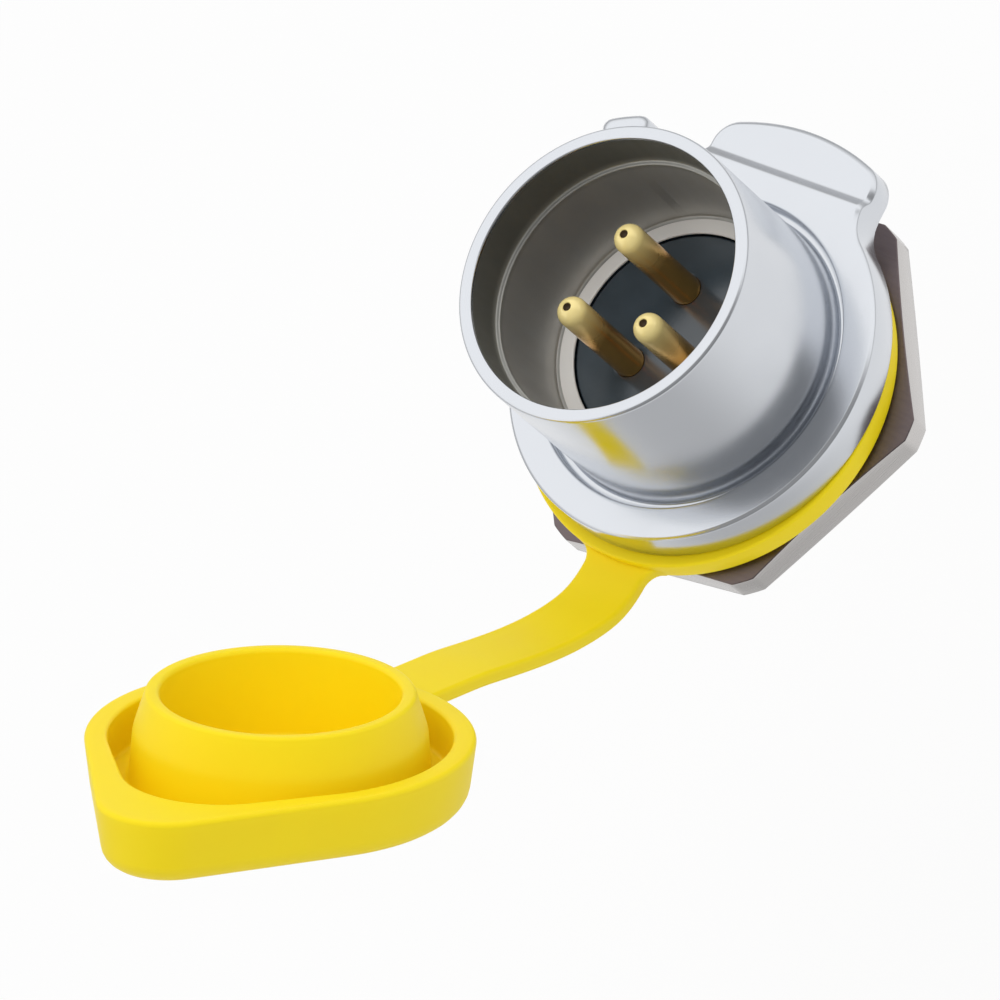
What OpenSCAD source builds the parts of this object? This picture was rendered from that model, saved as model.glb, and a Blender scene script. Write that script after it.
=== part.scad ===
// Sealed panel receptacle with three pins, a thin panel nut and a tethered dust cap.
// The panel's front face is the plane z = 0 and the mating axis is +Z.
// The flange's ear points to +Y and the cap's strap leaves towards -Y.

/* [Shroud] */
// Outside diameter of the shroud that the mating plug slides over
shroud_d = 20; // [18:0.5:22]
// Length of the shroud in front of the flange
shroud_len = 12.3; // [10:0.1:16]
// Thickness of the shroud's wall at its mouth
shroud_wall = 0.9; // [0.7:0.05:1.2]
// Depth of the wide mouth, down to the step in the bore
mouth_depth = 3.2; // [2:0.1:6]
// Height of the step in the bore
bore_step = 0.6; // [0.3:0.05:0.8]
// Depth from the rim to the ledge round the insulator
socket_depth = 10.6; // [9:0.1:12]
// Bevel on the rim, inside and outside
rim_bevel = 0.2; // [0.1:0.05:0.3]

/* [Polarising key] */
// Width of the key on the outside of the shroud
key_w = 3.6; // [2:0.1:5]
// Height of the key above the shroud
key_h = 1.1; // [0.6:0.1:1.6]
// Length of the key along the axis
key_len = 2.6; // [1.5:0.1:5]
// Bevel on the key's front end
key_bevel = 0.55; // [0.2:0.05:0.6]
// Distance of the key behind the rim
key_setback = 0.4; // [0.2:0.1:2]
// Turn of the key from the ear, seen from the front, anticlockwise
key_angle = 22; // [0:1:60]

/* [Flange and ear] */
// Diameter of the round flange
flange_d = 25.6; // [24.2:0.2:30]
// Thickness of the flange and the ear
flange_t = 2.8; // [2.4:0.1:4]
// Bevel on the flange's front edge
flange_bevel = 0.6; // [0.2:0.05:0.8]
// Width of the relief groove at the shroud's root
relief_w = 0.6; // [0.3:0.05:1]
// Depth of the relief groove
relief_depth = 0.5; // [0.2:0.05:0.8]
// Width of the ear
ear_w = 13; // [11:0.2:14]
// Height of the ear above the flange's edge
ear_rise = 3.3; // [3:0.1:5]
// Radius of the ear's outer corners
ear_corner_r = 1.9; // [1:0.1:2.8]
// Radius of the fillets between the ear and the flange
ear_fillet_r = 3; // [1:0.1:3.3]
// Distance from the flange's edge in to the step across the ear
ear_step_in = 0.3; // [-0.6:0.1:0.8]
// Drop from the flange's front face to the ear's pad
ear_drop = 0.6; // [0.2:0.05:1]

/* [Threaded barrel] */
// Outside diameter of the barrel's thread
barrel_d = 20; // [19:0.5:21]
// Length of the barrel behind the panel's front face
barrel_len = 5.6; // [5:0.2:8]
// Bevel on the barrel's rear edge
barrel_bevel = 0.8; // [0.3:0.1:1]
// Distance from one groove of the thread to the next
thread_pitch = 1; // [0.75:0.25:1.25]
// Depth of the thread's grooves
thread_depth = 0.4; // [0.2:0.05:0.5]
// Thickness of the barrel's wall round the insulators
barrel_wall = 1.7; // [1.3:0.1:2]

/* [Insulators] */
// How far the ledge reaches in over the insulator's shoulder
ledge_bite = 1; // [0.6:0.1:1.6]
// Thickness of the ledge
ledge_t = 1.6; // [1:0.1:2.2]
// Depth of the insulator's face below the ledge
face_recess = 0.2; // [0.2:0.1:1]
// Length of the front insulator behind the ledge
insulator_len = 5.2; // [4.9:0.1:5.4]
// Thickness of the rear insulator
backplate_t = 2.4; // [2:0.1:2.6]
// Radial clearance of the insulators in the shell
insert_fit = 0.05; // [0.02:0.01:0.1]
// Width of the rib that stops the front insulator from turning
rib_w = 1.6; // [1:0.1:2.4]
// Height of that rib
rib_h = 0.45; // [0.3:0.05:0.6]
// Length of that rib
rib_len = 2.4; // [1:0.1:2.5]
// Clearance of the rib in its slot
rib_fit = 0.05; // [0.02:0.01:0.1]

/* [Insert seal] */
// Thickness of the insulator's sealing ring
seal_t = 1.2; // [0.8:0.1:1.6]
// Distance from the ledge to the middle of the seal
seal_offset = 1.7; // [1.5:0.1:1.8]
// Room along the axis on each side of the seal in its groove
seal_side_gap = 0.2; // [0.1:0.05:0.4]
// Clearance of the seal to its groove and to the bore
seal_fit = 0.02; // [0.01:0.01:0.05]

/* [Contacts] */
// Diameter of a contact pin
pin_d = 2; // [1.5:0.1:2.1]
// Diameter of a contact inside the insulator
shank_d = 2.5; // [2.45:0.05:2.8]
// Diameter of the circle that the pins stand on
pin_circle_d = 7; // [6:0.1:7.4]
// Turn of the first pin from the ear, seen from the front, anticlockwise
pin_angle = 22; // [0:1:60]
// Turn from one pin to the next
pin_pitch = 110; // [100:1:120]
// Depth of the pin tips below the rim
tip_depth = 1.9; // [1:0.1:5]
// Diameter of the dimple in a pin's tip
dimple_d = 0.5; // [0.3:0.05:0.7]
// Depth of that dimple
dimple_depth = 0.35; // [0.2:0.05:0.6]
// Diameter of the collar that holds a contact between the insulators
collar_d = 3.2; // [2.9:0.1:3.4]
// Length of that collar
collar_len = 1.6; // [1:0.1:2.4]
// Diameter of a contact's tail
tail_d = 2.4; // [2.2:0.1:2.6]
// Length of a contact's tail behind the rear insulator
tail_len = 8; // [6:0.5:12]
// Bore of the solder cup at the tail's end
cup_d = 1.7; // [1.2:0.1:1.8]
// Depth of the solder cup
cup_depth = 4.5; // [3:0.1:5]
// Length of the opening along the cup's side
cup_window = 2.6; // [1.5:0.1:3]
// Radial clearance of a contact in the insulators
contact_fit = 0.05; // [0.02:0.01:0.1]

/* [Retaining ring] */
// Thickness of the snap ring behind the insulators
snap_t = 1; // [0.8:0.1:1.4]
// Radial width of the snap ring
snap_w = 1.5; // [1.1:0.1:1.6]
// How far the snap ring reaches into the shell's wall
snap_bite = 0.55; // [0.3:0.05:0.7]
// Clearance of the snap ring in its groove
snap_fit = 0.05; // [0.02:0.01:0.1]
// Angle of the gap between the snap ring's ends
snap_gap = 36; // [24:1:60]
// Diameter of the eyes at its ends
snap_eye_d = 2.4; // [2:0.1:2.6]
// Diameter of the plier holes in those eyes
snap_hole_d = 1.1; // [0.8:0.1:1.2]

/* [Panel nut] */
// Width of the nut's rim between the barrel and its flats
nut_rim = 2.5; // [1.5:0.1:3.5]
// Thickness of the nut
nut_t = 2; // [2:0.1:2.4]
// Gap between the gasket ring and the nut
nut_gap = 0.2; // [0.2:0.1:1]
// Turn of the nut, seen from the front, anticlockwise
nut_angle = 5; // [0:1:59]
// Setback of the nut's bevels from its flats
nut_bevel_in = 0.2; // [0.1:0.1:0.4]
// Slope of those bevels
nut_bevel_slope = 25; // [10:1:28]
// How much is turned off the nut's corners
nut_trim = 0.35; // [0.2:0.05:0.6]
// Radial clearance between the nut and the barrel
thread_gap = 0.1; // [0.05:0.05:0.2]

/* [Gasket ring and strap] */
// How far the gasket ring stands out past the flange's edge
ring_proud = 0.1; // [-0.4:0.1:0.4]
// Thickness of the gasket ring
ring_t = 1.7; // [1.4:0.1:3]
// Radial clearance of the gasket ring on the barrel
ring_fit = 0.85; // [0.75:0.05:1]
// How far the loose ring hangs towards the strap
ring_sag = 0.65; // [0:0.05:0.7]
// Width of the strap
strap_w = 4.6; // [3.2:0.1:6]
// Thickness of the strap
strap_t = 1; // [0.8:0.1:1.4]
// Straight run of the strap from the ring to its bend
strap_run = 0.9; // [0.9:0.1:3]
// Inside radius of the strap's bend
strap_bend_r = 5; // [3:0.5:9]
// Angle that the strap swings the cap towards the front
strap_swing = 51.5; // [10:0.5:80]
// Straight run of the strap from its bend to the cap
strap_len = 15.6; // [8:0.1:20]
// How much thinner the straight run is than the bend, on each face
strap_thinning = 0.05; // [0.04:0.01:0.15]
// Radius of the fillets between the strap and the ring
strap_fillet_r = 1.3; // [0.8:0.1:1.3]

/* [Cap] */
// Thickness of the cap's skirt
skirt_wall = 1.45; // [1.2:0.05:2.4]
// Height of the cap's skirt
cap_h = 4.2; // [3:0.1:6]
// Thickness of the cap's floor
cap_floor = 1.4; // [1:0.1:2]
// Radius of the cap's bottom edge
cap_edge_r = 1.4; // [0.8:0.1:1.4]
// Clearance of the skirt round the shroud
cap_fit = 0.5; // [0.1:0.1:0.6]
// How far the cap's sides slope in from the lip to the bottom
cap_draft = 0.35; // [0:0.05:0.5]
// Reach of the pull tab from the cap's middle
tab_reach = 17.2; // [14:0.1:18]
// Radius of the pull tab's round end
tab_r = 4.4; // [3.5:0.1:6]
// Turn of the pull tab from the strap's line, seen into the cap, anticlockwise
tab_turn = 9; // [-15:1:15]
// Reach of the cap's recess into the tab
recess_reach = 12.9; // [11.5:0.1:13]
// Radius of the recess's round end
recess_r = 6; // [4:0.5:8]
// Clearance of the plug wall in the socket
plug_fit = 0.1; // [0.05:0.05:0.4]
// Thickness of the plug wall
plug_wall = 1.1; // [0.8:0.1:2]
// How much wider the plug wall is at its foot, on each side
plug_flare = 0.5; // [0:0.1:0.6]
// Height of the plug wall above the skirt
plug_rise = 2.8; // [1:0.1:5]
// Bevel on the plug wall's lip
plug_bevel = 0.3; // [0.1:0.05:0.5]
// Sideways lean of the open cap
cap_lean = 4.5; // [-10:0.5:10]

/* [Hidden] */
$fn = 96;
hull_fn = 40;
pin_count = 3;
// How far cutting shapes reach past the faces that they cut
past = 1;
// How far joined shapes reach into each other
sunk = 0.5;

flange_z = ring_t;
front_z = flange_z + flange_t;
rim_z = front_z + shroud_len;
ledge_z = rim_z - socket_depth;
ledge_rear_z = ledge_z - ledge_t;
split_z = ledge_rear_z - insulator_len;
backplate_rear_z = split_z - backplate_t;
tail_z = backplate_rear_z - tail_len;
nut_front_z = -nut_gap;
nut_rear_z = nut_front_z - nut_t;
seal_z = ledge_rear_z - seal_offset;
mouth_r = shroud_d / 2 - shroud_wall;
socket_r = mouth_r - bore_step;
insert_r = barrel_d / 2 - barrel_wall;
face_r = insert_r - ledge_bite;
face_z = ledge_z - face_recess;
ear_reach = flange_d / 2 + ear_rise;
snap_groove_r = insert_r + snap_bite;
snap_r = snap_groove_r - snap_fit;
nut_flat_r = barrel_d / 2 + nut_rim;
ring_r = flange_d / 2 + ring_proud;
strap_bend_y = ring_sag + ring_r + strap_run;
skirt_bore_r = shroud_d / 2 + cap_fit;
cap_r = skirt_bore_r + skirt_wall;
plug_r = socket_r - plug_fit;

// Solid of revolution between two heights, with bevels on its upper and lower edges.
module turned(r, z0, z1, top = 0, bottom = 0) {
    rotate_extrude()
        polygon([[0, z0], [r - bottom, z0], [r, z0 + bottom], [r, z1 - top], [r - top, z1], [0, z1]]);
}

// Flat ring between two radii, from z0 up to z1.
module ring_band(r_in, r_out, z0, z1) {
    rotate_extrude()
        translate([r_in, z0])
            square([r_out - r_in, z1 - z0]);
}

// Fillet that fills the corner between a circle round the origin and a straight side at x = side.
module corner_fillet(circle_r, side, r) {
    centre = [side + r, sqrt(pow(circle_r + r, 2) - pow(side + r, 2))];
    foot = centre * circle_r / (circle_r + r);
    inside = foot * (1 - sunk / circle_r);
    difference() {
        polygon([[side - sunk, centre.y], centre, foot, inside, [side - sunk, inside.y]]);
        translate(centre)
            circle(r);
    }
}

// Places its children at each contact, turned so that +X points away from the axis.
module at_contact(i) {
    rotate(90 + pin_angle + i * pin_pitch)
        translate([pin_circle_d / 2, 0, 0])
            children();
}

// Outline of the ear: an arc at its reach, round corners, and fillets down to the flange.
module ear_outline() {
    corner_x = ear_w / 2 - ear_corner_r;
    corner_y = sqrt(pow(ear_reach - ear_corner_r, 2) - pow(corner_x, 2));
    intersection() {
        circle(ear_reach);
        translate([-corner_x, 0])
            square([2 * corner_x, ear_reach + past]);
    }
    translate([-ear_w / 2, 0])
        square([ear_w, corner_y]);
    for (side = [0, 1])
        mirror([side, 0]) {
            translate([corner_x, corner_y])
                circle(ear_corner_r);
            corner_fillet(flange_d / 2, ear_w / 2, ear_fillet_r);
        }
}

// The ear as a plate, with its outer pad stepped down behind a sloped edge.
module ear() {
    pad_z = front_z - ear_drop;
    step_y = flange_d / 2 - ear_step_in;
    difference() {
        translate([0, 0, flange_z])
            linear_extrude(flange_t)
                ear_outline();
        rotate([90, 0, 90])
            linear_extrude(2 * ear_reach, center = true)
                polygon([[step_y, front_z], [step_y + ear_drop, pad_z], [ear_reach + past, pad_z],
                         [ear_reach + past, front_z + past], [step_y, front_z + past]]);
    }
}

// Key on the shroud's outside, with a sloped front end that leads the plug on.
module key() {
    key_r = shroud_d / 2 + key_h;
    front = rim_z - key_setback;
    intersection() {
        turned(key_r, front - key_len, front, top = key_bevel);
        rotate(90 + key_angle)
            translate([shroud_d / 2 - sunk, -key_w / 2, front - key_len])
                cube([key_h + 2 * sunk, key_w, key_len]);
    }
}

// The thread's grooves as plain V-shaped rings, without the helix; they stop short of the rear bevel.
module thread_grooves() {
    half_w = 0.4 * thread_pitch;
    first_z = barrel_bevel - barrel_len + thread_pitch / 2;
    groove_count = round((barrel_len - barrel_bevel) / thread_pitch);
    for (i = [0 : groove_count - 1])
        translate([0, 0, first_z + i * thread_pitch])
            rotate_extrude()
                translate([barrel_d / 2, 0])
                    polygon([[-thread_depth, 0], [0, -half_w], [past, -half_w], [past, half_w], [0, half_w]]);
}

// Die-cast zinc shell: shroud, flange with its ear, and threaded barrel in one piece.
module shell() {
    color("gainsboro")
        difference() {
            union() {
                turned(barrel_d / 2, -barrel_len, flange_z + sunk, bottom = barrel_bevel);
                turned(flange_d / 2, flange_z, front_z, top = flange_bevel);
                turned(shroud_d / 2, front_z - sunk, rim_z, top = rim_bevel);
                ear();
                key();
            }
            // Mouth with its bevelled rim, socket, window in the ledge, and rear bore
            rotate_extrude()
                polygon([[0, rim_z - mouth_depth], [mouth_r, rim_z - mouth_depth],
                         [mouth_r, rim_z - rim_bevel], [mouth_r + rim_bevel, rim_z],
                         [mouth_r + rim_bevel, rim_z + past], [0, rim_z + past]]);
            turned(socket_r, ledge_z, rim_z);
            turned(face_r, ledge_rear_z - past, rim_z);
            turned(insert_r, -barrel_len - past, ledge_rear_z);
            thread_grooves();
            // Relief at the shroud's root and groove for the snap ring
            ring_band(shroud_d / 2, shroud_d / 2 + relief_w, front_z - relief_depth, front_z + past);
            ring_band(insert_r - sunk, snap_groove_r,
                      backplate_rear_z - snap_t - snap_fit, backplate_rear_z + snap_fit);
            // Slot for the insulator's rib, open to the rear and shut off short of the seal
            slot_w = rib_w + 2 * rib_fit;
            slot_end_z = split_z + rib_len + rib_fit;
            translate([-slot_w / 2, 0, -barrel_len - past])
                cube([slot_w, insert_r + rib_h + rib_fit, slot_end_z + barrel_len + past]);
        }
}

// Black moulded insulator that carries the pins, keyed in the shell by a rib.
module insulator() {
    body_r = insert_r - insert_fit;
    groove_r = insert_r - seal_t;
    color("#202428")
        difference() {
            union() {
                turned(face_r - insert_fit, ledge_rear_z - sunk, face_z);
                turned(body_r, split_z, ledge_rear_z);
                translate([-rib_w / 2, 0, split_z])
                    cube([rib_w, insert_r + rib_h, rib_len]);
            }
            ring_band(groove_r, body_r + past,
                      seal_z - seal_t / 2 - seal_side_gap, seal_z + seal_t / 2 + seal_side_gap);
            for (i = [0 : pin_count - 1])
                at_contact(i) {
                    turned(shank_d / 2 + contact_fit, split_z - past, ledge_z);
                    turned(collar_d / 2 + contact_fit, split_z - past, split_z + collar_len);
                }
        }
}

// Moulded plate that closes the insulator from the rear and traps the contacts' collars.
module backplate() {
    color("#2b2f33")
        difference() {
            turned(insert_r - insert_fit, backplate_rear_z, split_z);
            for (i = [0 : pin_count - 1])
                at_contact(i)
                    turned(tail_d / 2 + contact_fit, backplate_rear_z - past, split_z + past);
        }
}

// Turned brass contact, gold plated: domed pin with a dimple, shank inside the insulator, collar,
// and tail with a solder cup.
module contact(i) {
    pin_r = pin_d / 2;
    tip_z = rim_z - tip_depth;
    color("goldenrod")
        at_contact(i)
            difference() {
                union() {
                    turned(pin_r, split_z, tip_z - pin_r);
                    translate([0, 0, tip_z - pin_r])
                        sphere(pin_r);
                    turned(shank_d / 2, split_z, face_z);
                    turned(collar_d / 2, split_z, split_z + collar_len);
                    turned(tail_d / 2, tail_z, split_z);
                }
                turned(dimple_d / 2, tip_z - dimple_depth, tip_z + past);
                turned(cup_d / 2, tail_z - past, tail_z + cup_depth);
                translate([0, -tail_d, tail_z - past])
                    cube([tail_d, 2 * tail_d, cup_window + past]);
            }
}

module contact_1() { contact(0); }

module contact_2() { contact(1); }

module contact_3() { contact(2); }

// Rubber ring in the insulator's groove, against the shell's bore.
module insert_seal() {
    section_r = seal_t / 2 - seal_fit;
    color("#141414")
        translate([0, 0, seal_z])
            rotate_extrude()
                translate([insert_r - seal_t / 2, 0])
                    circle(section_r);
}

// Sprung steel snap ring behind the rear insulator, with an eye for the pliers at each end.
module retaining_ring() {
    inner_r = snap_r - snap_w;
    eye_x = insert_r - snap_eye_d / 2 - snap_bite;
    half_gap = snap_gap / 2;
    edge = 2 * snap_r * [cos(half_gap), sin(half_gap)];
    color("slategray")
        translate([0, 0, backplate_rear_z - snap_t])
            linear_extrude(snap_t)
                rotate(-90)
                    difference() {
                        union() {
                            difference() {
                                circle(snap_r);
                                circle(inner_r);
                                polygon([[0, 0], edge, [edge.x, -edge.y]]);
                            }
                            for (side = [-1, 1])
                                rotate(side * half_gap)
                                    translate([eye_x, 0])
                                        circle(d = snap_eye_d);
                        }
                        for (side = [-1, 1])
                            rotate(side * half_gap)
                                translate([eye_x, 0])
                                    circle(d = snap_hole_d);
                    }
}

// Thin plated panel nut, run up behind the gasket ring; both faces are bevelled at the corners.
module panel_nut() {
    corner_r = nut_flat_r / cos(30);
    edge_r = corner_r - nut_trim;
    bevel_r = nut_flat_r - nut_bevel_in;
    bevel_z = (edge_r - bevel_r) * tan(nut_bevel_slope);
    color("silver")
        difference() {
            intersection() {
                translate([0, 0, nut_rear_z])
                    rotate(nut_angle)
                        cylinder(r = corner_r, h = nut_t, $fn = 6);
                rotate_extrude()
                    polygon([[0, nut_rear_z], [bevel_r, nut_rear_z], [edge_r, nut_rear_z + bevel_z],
                             [edge_r, nut_front_z - bevel_z], [bevel_r, nut_front_z], [0, nut_front_z]]);
            }
            turned(barrel_d / 2 + thread_gap, nut_rear_z - past, nut_front_z + past);
        }
}

// Moves its children from the flat strap's frame to the frame past the bend.
module past_bend() {
    pivot = [0, -strap_bend_y, strap_t + strap_bend_r];
    translate(pivot)
        rotate([-strap_swing, 0, 0])
            translate([0, 0, -strap_t - strap_bend_r])
                children();
}

// Strap: a filleted root on the ring, one bend, and a straight run to the cap.
module strap() {
    linear_extrude(strap_t) {
        translate([-strap_w / 2, -strap_bend_y])
            square([strap_w, strap_run + sunk]);
        for (side = [0, 1])
            mirror([side, 0])
                translate([0, -ring_sag])
                    mirror([0, 1])
                        corner_fillet(ring_r, strap_w / 2, strap_fillet_r);
    }
    translate([0, -strap_bend_y, strap_t + strap_bend_r])
        rotate([0, 90, 0])
            rotate([180, 0, 0])
                rotate_extrude(angle = strap_swing)
                    translate([strap_bend_r, -strap_w / 2])
                        square([strap_t, strap_w]);
    past_bend()
        translate([-strap_w / 2, -strap_len - sunk, strap_thinning])
            cube([strap_w, strap_len + 2 * sunk, strap_t - 2 * strap_thinning]);
}

// Block with sloped sides and a round edge at its bottom, the form of the cap's round and of its tab.
module rounded_block(r) {
    foot_r = r - cap_draft;
    translate([0, 0, cap_edge_r - cap_h]) {
        cylinder(r1 = foot_r, r2 = r, h = cap_h - cap_edge_r, $fn = hull_fn);
        rotate_extrude($fn = hull_fn)
            translate([foot_r - cap_edge_r, 0])
                circle(cap_edge_r, $fn = hull_fn / 2);
    }
}

// Cap in its own frame: the skirt's lip is at z = 0, the open side is +Z, the tab points to -Y.
module cap() {
    floor_z = cap_floor - cap_h;
    bore_r = plug_r - plug_wall;
    difference() {
        hull() {
            rounded_block(cap_r);
            translate([0, tab_r - tab_reach])
                rounded_block(tab_r);
        }
        translate([0, 0, floor_z])
            linear_extrude(cap_h)
                hull() {
                    circle(skirt_bore_r);
                    translate([0, recess_r - recess_reach])
                        circle(recess_r);
                }
    }
    rotate_extrude()
        polygon([[bore_r, floor_z - sunk], [plug_r + plug_flare, floor_z - sunk], [plug_r + plug_flare, floor_z],
                 [plug_r, plug_rise - plug_bevel], [plug_r - plug_bevel, plug_rise],
                 [bore_r + plug_bevel, plug_rise], [bore_r, plug_rise - plug_bevel]]);
}

// Silicone gasket ring, strap and cap, moulded as one piece.
module sealing_cap() {
    color("gold")
        union() {
            translate([0, -ring_sag, 0])
                ring_band(barrel_d / 2 + ring_fit, ring_r, 0, ring_t);
            strap();
            past_bend()
                translate([0, -strap_len - cap_r, strap_t])
                    rotate([0, -cap_lean, 0])
                        rotate(tab_turn)
                            cap();
        }
}

shell();
insulator();
backplate();
contact_1();
contact_2();
contact_3();
insert_seal();
retaining_ring();
panel_nut();
sealing_cap();
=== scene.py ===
import math

import bmesh
import bpy
import numpy as np
from mathutils import Matrix, Vector


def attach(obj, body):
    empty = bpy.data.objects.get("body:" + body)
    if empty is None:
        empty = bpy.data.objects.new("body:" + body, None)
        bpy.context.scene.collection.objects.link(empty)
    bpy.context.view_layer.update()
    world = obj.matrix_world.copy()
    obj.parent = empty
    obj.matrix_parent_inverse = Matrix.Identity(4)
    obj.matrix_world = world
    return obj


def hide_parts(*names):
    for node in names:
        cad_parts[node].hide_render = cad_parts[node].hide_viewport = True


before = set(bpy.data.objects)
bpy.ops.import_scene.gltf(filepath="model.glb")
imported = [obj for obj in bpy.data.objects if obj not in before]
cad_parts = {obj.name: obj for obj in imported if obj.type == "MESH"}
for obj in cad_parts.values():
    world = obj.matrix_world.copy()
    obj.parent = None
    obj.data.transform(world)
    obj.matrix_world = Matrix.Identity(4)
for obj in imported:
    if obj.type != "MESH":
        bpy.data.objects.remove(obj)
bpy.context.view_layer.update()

# Shell: shroud, flange with its ear, outside key and threaded barrel, cast in one piece of
# zinc alloy, trimmed, tumbled and chrome plated. Heights count from the panel's front face.
MM = 0.001

RIM_Z = 16.8
STEP_Z = 13.4
LEDGE_Z = 6.2
LEDGE_REAR_Z = 4.6
FRONT_Z = 4.5
RELIEF_Z = 3.6
FLANGE_REAR_Z = 1.7
SNAP_FRONT_Z = -2.95
SNAP_REAR_Z = -4.05
BARREL_REAR_Z = -5.6
SHROUD_R = 10.0
MOUTH_R = 9.1
SOCKET_R = 8.5
SOCKET_DRAFT = 0.3
WINDOW_R = 7.3
RELIEF_R = 10.6
RELIEF_LIP = 0.3
FLANGE_R = 12.8
BARREL_R = 10.0
INSERT_R = 8.3
SNAP_R = 8.85
BARREL_BEVEL = 0.8
THREAD_PITCH = 1.0
THREAD_HALF_W = 0.4
THREAD_DEPTH = 0.4
THREAD_FIRST_Z = -0.3
THREAD_GROOVES = 5
FLANGE_BEVEL = 0.22
EAR_BEVEL = 0.35
EAR_REACH = 16.1
EAR_HALF_W = 6.5
EAR_CORNER_R = 1.9
EAR_FILLET_R = 3.0
EAR_ROOT_Y = 8.0
EAR_BLEND_Y = (11.0, 13.0)
EAR_STEP_Y = 12.5
EAR_DROP = 0.6
KEY_ANGLE = math.radians(113.5)
KEY_W = 3.1
KEY_H = 1.0
KEY_LEN = 2.6
KEY_SETBACK = 0.4
KEY_SUNK = 0.4
KEY_ROUND = 0.6
CUT_ROUND = 0.06
ROOT_ROUND = 0.08
TURNED_ROUND = 0.1
LEDGE_ROUND = 0.12
FLANGE_ROUND = 0.15
CAST_ROUND = 0.2
RIM_ROUND = 0.25
FINISH_EDGE = 0.25
LEDGE_LIP = 0.15
SHELL_COLUMNS = 480
ARC_POINTS = 400
WELD = 0.002
SLIVER = 0.0001


def hex_linear(code):
    """An sRGB hex colour as linear RGBA."""
    parts = [int(code[i:i + 2], 16) / 255 for i in (1, 3, 5)]
    return [p / 12.92 if p <= 0.04045 else ((p + 0.055) / 1.055) ** 2.4 for p in parts] + [1.0]


def add_node(tree, kind, settings=None, links=None):
    """Adds one node, sets its options and sockets, and links its inputs to other nodes' outputs."""
    node = tree.nodes.new(kind)
    for name, value in (settings or {}).items():
        if isinstance(name, int) or name in node.inputs:
            node.inputs[name].default_value = value
        else:
            setattr(node, name, value)
    for name, source in (links or {}).items():
        tree.links.new(source, node.inputs[name])
    return node


def new_material(name):
    """A fresh material, its node tree, its main shader and the part's own coordinates in metres."""
    material = bpy.data.materials.new(name)
    material.use_nodes = True
    tree = material.node_tree
    coords = add_node(tree, "ShaderNodeTexCoord").outputs["Object"]
    return material, tree, tree.nodes["Principled BSDF"], coords


def rounded(corners, steps=4, closed=False):
    """Points along a line of (x, y, radius) corners, with an arc at each corner with a radius.

    An arc takes at most about half of the shorter side next to it.
    """
    points = []
    count = len(corners)
    for i, (x, y, radius) in enumerate(corners):
        here = np.array((x, y))
        if radius <= 0 or (not closed and i in (0, count - 1)):
            points.append(here)
            continue
        before = np.array(corners[i - 1][:2]) - here
        after = np.array(corners[(i + 1) % count][:2]) - here
        room = 0.49 * min(np.linalg.norm(before), np.linalg.norm(after))
        before = before / np.linalg.norm(before)
        after = after / np.linalg.norm(after)
        half = math.acos(max(-1.0, min(1.0, float(before @ after)))) / 2
        reach = min(radius / math.tan(half), room)
        middle = (before + after) / np.linalg.norm(before + after)
        centre = here + middle * reach / math.cos(half)
        start = here + before * reach - centre
        turn = math.pi - 2 * half
        if before[0] * after[1] - before[1] * after[0] > 0:
            turn = -turn
        for k in range(steps + 1):
            a = turn * k / steps
            points.append(centre + np.array((start[0] * math.cos(a) - start[1] * math.sin(a),
                                             start[0] * math.sin(a) + start[1] * math.cos(a))))
    return points


def turned_rings(profile, angles):
    """Rings of points for a turned form: one ring for each (radius, height) of the profile."""
    return [np.column_stack((r * np.cos(angles), r * np.sin(angles), np.full(len(angles), z)))
            for r, z in profile]


def outward(outline):
    """Unit normals of a closed anticlockwise outline."""
    along = np.roll(outline, -1, axis=0) - np.roll(outline, 1, axis=0)
    normals = np.column_stack((along[:, 1], -along[:, 0]))
    return normals / np.linalg.norm(normals, axis=1)[:, None]


def skin(bm, rings, loop=False, place=None, slot=0):
    """Joins rings of points (mm) with quads; a ring of one point closes an end."""
    place = place or Matrix.Identity(4)
    rows = [[bm.verts.new(place @ Vector(p) * MM) for p in np.atleast_2d(ring)] for ring in rings]
    pairs = list(zip(rows, rows[1:])) + ([(rows[-1], rows[0])] if loop else [])
    for low, high in pairs:
        count = max(len(low), len(high))
        for i in range(count):
            j = (i + 1) % count
            if len(low) == 1:
                corners = (low[0], high[j], high[i])
            elif len(high) == 1:
                corners = (low[i], low[j], high[0])
            else:
                corners = (low[i], low[j], high[j], high[i])
            bm.faces.new(corners).material_index = slot


def finished(bm, name, materials, sharp=40):
    """Cleans the mesh, turns its faces outwards, shades it smooth and makes it an object."""
    bmesh.ops.remove_doubles(bm, verts=bm.verts, dist=WELD * MM)
    bmesh.ops.dissolve_degenerate(bm, edges=bm.edges, dist=SLIVER * MM)
    bmesh.ops.recalc_face_normals(bm, faces=bm.faces)
    mesh = bpy.data.meshes.new(name)
    bm.to_mesh(mesh)
    bm.free()
    mesh.polygons.foreach_set("use_smooth", [True] * len(mesh.polygons))
    mesh.set_sharp_from_angle(angle=math.radians(sharp))
    for material in materials:
        mesh.materials.append(material)
    piece = bpy.data.objects.new(name, mesh)
    bpy.context.scene.collection.objects.link(piece)
    weigh = piece.modifiers.new("even_normals", "WEIGHTED_NORMAL")
    weigh.keep_sharp = True
    return piece


def evenly(line, spots):
    """Points of a line (n x 2) at the distances along it that spots works out from its length."""
    run = np.concatenate(((0,), np.cumsum(np.linalg.norm(np.diff(line, axis=0), axis=1))))
    at = spots(run[-1])
    return np.column_stack([np.interp(at, run, line[:, k]) for k in (0, 1)])


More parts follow.
